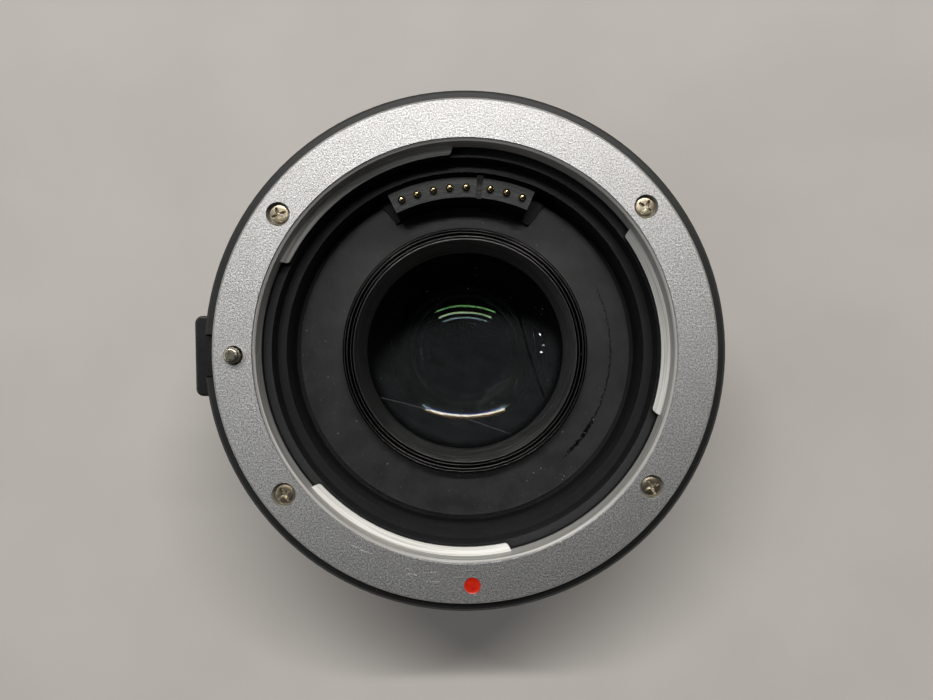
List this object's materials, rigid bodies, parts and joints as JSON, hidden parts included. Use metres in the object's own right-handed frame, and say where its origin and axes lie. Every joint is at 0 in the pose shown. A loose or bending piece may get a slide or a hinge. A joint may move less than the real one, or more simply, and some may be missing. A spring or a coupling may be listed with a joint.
{
  "type": "focal reducer adapter",
  "caption": "Short round lens adapter with a steel bayonet ring on each side, a black body, a glass reducer group, sprung contacts and a sliding lens release.",
  "frame": {"origin": "on the optical axis, in the plane of the lens flange", "axes": "+Z along the optical axis out of the front towards the lens, -X through the lens release, -Y through the lens index dot"},
  "size_m": [0.0694, 0.0678, 0.0277],
  "materials": {
    "lens_ring": "satin, bead blasted, with turned tabs",
    "mount_screws": "nickel plated, worn",
    "red_enamel": "gloss enamel",
    "leaf_steel": "spring steel, satin",
    "body_black": "black anodised, fine bead blasted",
    "slider_black": "black anodised, semi gloss",
    "lock_pin_nickel": "polished nickel",
    "spring_steel": "drawn wire",
    "contact_plastic": "moulded, fine grain",
    "contact_gold": "gold plated",
    "baffle_black": "matte black paint",
    "board_green": "solder resist",
    "chip_black": "moulded epoxy",
    "capacitor_tan": "ceramic",
    "barrel_black": "black anodised",
    "collar_black": "black anodised, ridged",
    "lens_glass": "polished, anti-reflection coated",
    "camera_ring": "satin, turned",
    "shroud_plastic": "moulded, satin",
    "small_screws": "black zinc",
    "flex_amber": "polyimide film"
  },
  "bodies": {
    "adapter": {"lens_mount_ring": "lens_ring", "lens_mount_screws": "mount_screws", "index_dot": "red_enamel", "tab_spring_plate": "leaf_steel", "main_body": "body_black", "camera_index_dot": "red_enamel", "release_spring": "spring_steel", "front_contact_block": "contact_plastic", "contact_block_screws": "small_screws", "baffle_plate": "baffle_black", "circuit_board": "board_green", "board_screws": "small_screws", "controller_chip": "chip_black", "power_chip": "chip_black", "board_capacitors": "capacitor_tan", "lens_barrel": "barrel_black", "barrel_screws": "small_screws", "front_retainer_ring": "collar_black", "lens_spacer_ring": "barrel_black", "rear_retainer_ring": "barrel_black", "camera_mount_ring": "camera_ring", "camera_mount_screws": "mount_screws", "rear_shroud": "shroud_plastic", "rear_contact_block": "shroud_plastic", "rear_contact_pads": "contact_gold", "rear_contact_flex": "flex_amber", "front_lens": "lens_glass", "second_lens": "lens_glass", "doublet_front_lens": "lens_glass", "doublet_rear_lens": "lens_glass", "contact_spring_1": "spring_steel", "contact_spring_2": "spring_steel", "contact_spring_3": "spring_steel", "contact_spring_4": "spring_steel", "contact_spring_5": "spring_steel", "contact_spring_6": "spring_steel", "contact_spring_7": "spring_steel", "contact_spring_8": "spring_steel"},
    "release": {"release_slider": "slider_black", "lens_lock_pin": "lock_pin_nickel"},
    "contact_1": {"contact_pin_1": "contact_gold"},
    "contact_2": {"contact_pin_2": "contact_gold"},
    "contact_3": {"contact_pin_3": "contact_gold"},
    "contact_4": {"contact_pin_4": "contact_gold"},
    "contact_5": {"contact_pin_5": "contact_gold"},
    "contact_6": {"contact_pin_6": "contact_gold"},
    "contact_7": {"contact_pin_7": "contact_gold"},
    "contact_8": {"contact_pin_8": "contact_gold"}
  },
  "joints": [
    {"name": "release_slide", "type": "slide", "parent": "adapter", "child": "release", "axis": [0, 0, 1], "range_m": [-0.002, 0], "stiffness_N_per_m": 300, "springref_m": 0.003, "deforming": ["release_spring"]},
    {"name": "contact_slide_1", "type": "slide", "parent": "adapter", "child": "contact_1", "axis": [0, 0, 1], "range_m": [-0.0008, 0], "stiffness_N_per_m": 120, "springref_m": 0.003, "deforming": ["contact_spring_1"]},
    {"name": "contact_slide_2", "type": "slide", "parent": "adapter", "child": "contact_2", "axis": [0, 0, 1], "range_m": [-0.0008, 0], "stiffness_N_per_m": 120, "springref_m": 0.003, "deforming": ["contact_spring_2"]},
    {"name": "contact_slide_3", "type": "slide", "parent": "adapter", "child": "contact_3", "axis": [0, 0, 1], "range_m": [-0.0008, 0], "stiffness_N_per_m": 120, "springref_m": 0.003, "deforming": ["contact_spring_3"]},
    {"name": "contact_slide_4", "type": "slide", "parent": "adapter", "child": "contact_4", "axis": [0, 0, 1], "range_m": [-0.0008, 0], "stiffness_N_per_m": 120, "springref_m": 0.003, "deforming": ["contact_spring_4"]},
    {"name": "contact_slide_5", "type": "slide", "parent": "adapter", "child": "contact_5", "axis": [0, 0, 1], "range_m": [-0.0008, 0], "stiffness_N_per_m": 120, "springref_m": 0.003, "deforming": ["contact_spring_5"]},
    {"name": "contact_slide_6", "type": "slide", "parent": "adapter", "child": "contact_6", "axis": [0, 0, 1], "range_m": [-0.0008, 0], "stiffness_N_per_m": 120, "springref_m": 0.003, "deforming": ["contact_spring_6"]},
    {"name": "contact_slide_7", "type": "slide", "parent": "adapter", "child": "contact_7", "axis": [0, 0, 1], "range_m": [-0.0008, 0], "stiffness_N_per_m": 120, "springref_m": 0.003, "deforming": ["contact_spring_7"]},
    {"name": "contact_slide_8", "type": "slide", "parent": "adapter", "child": "contact_8", "axis": [0, 0, 1], "range_m": [-0.0008, 0], "stiffness_N_per_m": 120, "springref_m": 0.003, "deforming": ["contact_spring_8"]}
  ]
}
